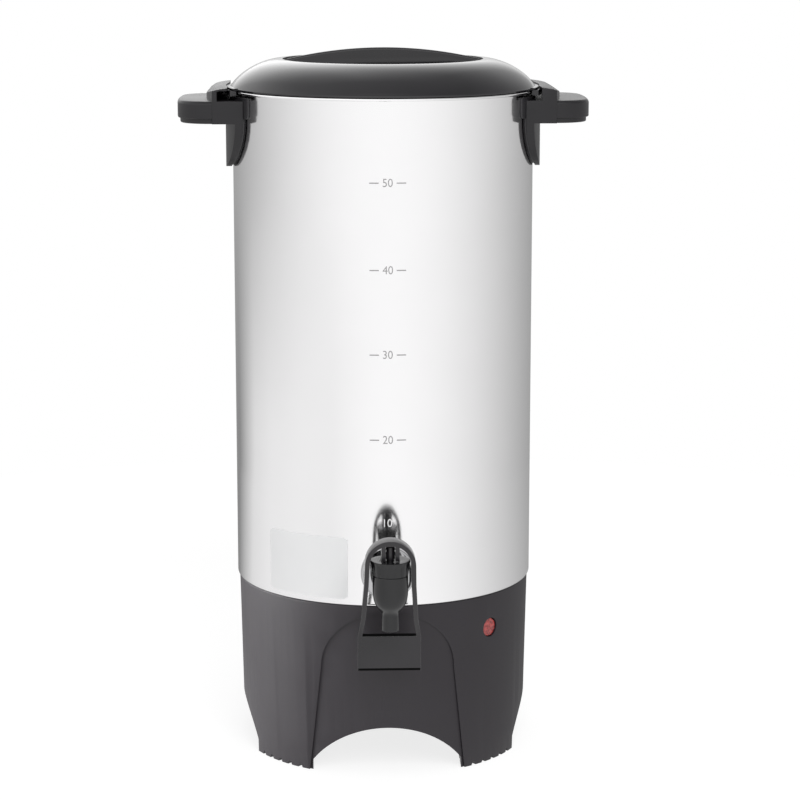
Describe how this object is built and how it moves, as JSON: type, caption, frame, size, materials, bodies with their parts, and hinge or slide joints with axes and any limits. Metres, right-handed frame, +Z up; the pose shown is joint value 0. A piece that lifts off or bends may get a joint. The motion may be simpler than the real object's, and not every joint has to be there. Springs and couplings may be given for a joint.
{
  "type": "coffee urn",
  "caption": "Tall percolating coffee urn: polished steel tank, domed twist-lock lid, two side handles, push-back faucet and a moulded base on ribbed feet.",
  "frame": {"origin": "centre of the bounding box's base: on the floor, 28.125 mm in front of the tank axis", "axes": "+Z up along the tank, -Y towards the faucet (the front), +X to the right seen from the front"},
  "size_m": [0.2722, 0.2592, 0.4732],
  "materials": {
    "polished_steel": "polished stainless steel, nearly mirror bright",
    "plain_steel": "zinc-plated or plain stainless fasteners and springs",
    "chrome_ring": "bright chrome",
    "inner_aluminium": "satin spun aluminium",
    "brass_pin": "turned brass, nickel dulled",
    "black_gloss": "black moulded plastic, semi-gloss",
    "black_satin": "black moulded plastic, satin",
    "base_charcoal": "charcoal moulded plastic, satin",
    "lens_red": "translucent red lens, unlit",
    "holder_white": "heat-resistant off-white moulding",
    "silicone": "translucent grey silicone",
    "label_film": "blank pale film",
    "wire_sleeve": "glass-fibre sleeved leads"
  },
  "bodies": {
    "urn": {"tank_body": "polished_steel", "tank_label": "label_film", "tank_studs": "plain_steel", "tank_nuts": "plain_steel", "base_housing": "base_charcoal", "bottom_cover": "black_satin", "cover_screws": "plain_steel", "indicator_lens": "lens_red", "lamp_holder": "holder_white", "handle_right": "black_satin", "handle_left": "black_satin", "handle_saddle_right": "black_satin", "handle_saddle_left": "black_satin", "handle_screws": "plain_steel", "faucet_flange": "chrome_ring", "faucet_gasket": "silicone", "faucet_nut": "brass_pin", "faucet_body": "black_gloss", "faucet_bonnet": "black_gloss", "valve_spring": "plain_steel", "percolator_tube": "inner_aluminium", "pump_foot": "inner_aluminium", "basket_seat": "inner_aluminium", "coffee_basket": "inner_aluminium", "basket_cover": "inner_aluminium", "brew_heater": "inner_aluminium", "heater_clamp": "plain_steel", "clamp_stud": "plain_steel", "clamp_nut": "plain_steel", "keep_warm_heater": "inner_aluminium", "thermostat": "holder_white", "thermal_fuse": "plain_steel", "terminal_block": "holder_white", "power_inlet": "black_satin", "inlet_pins": "brass_pin", "inlet_screws": "plain_steel", "wiring": "wire_sleeve"},
    "lid": {"lid_dome": "black_gloss", "lid_grip": "black_gloss", "lid_grip_screws": "plain_steel"},
    "stem": {"valve_stem": "black_satin", "valve_cup": "silicone", "lever_pin": "plain_steel"},
    "lever": {"faucet_lever": "black_gloss"},
    "pump_valve": {"pump_washer": "plain_steel"}
  },
  "joints": [
    {"name": "lid_twist", "type": "hinge", "parent": "urn", "child": "lid", "pos_m": [0, 0.02813, 0.4463], "axis": [0, 0, 1], "range_deg": [0, 45]},
    {"name": "stem_lift", "type": "slide", "parent": "urn", "child": "stem", "axis": [0, 0, 1], "range_m": [0, 0.0015], "deforming": ["valve_spring"]},
    {"name": "lever_push", "type": "hinge", "parent": "stem", "child": "lever", "pos_m": [0, -0.11688, 0.1656], "axis": [1, 0, 0], "range_deg": [0, 14], "stiffness_Nm_per_rad": 0.067, "springref_deg": -39.53},
    {"name": "pump_valve_lift", "type": "slide", "parent": "urn", "child": "pump_valve", "axis": [0, 0, 1], "range_m": [0, 0.003]}
  ],
  "couplings": [
    {"joint": "stem_lift", "follows": "lever_push", "m_per_rad": 0.0058}
  ]
}
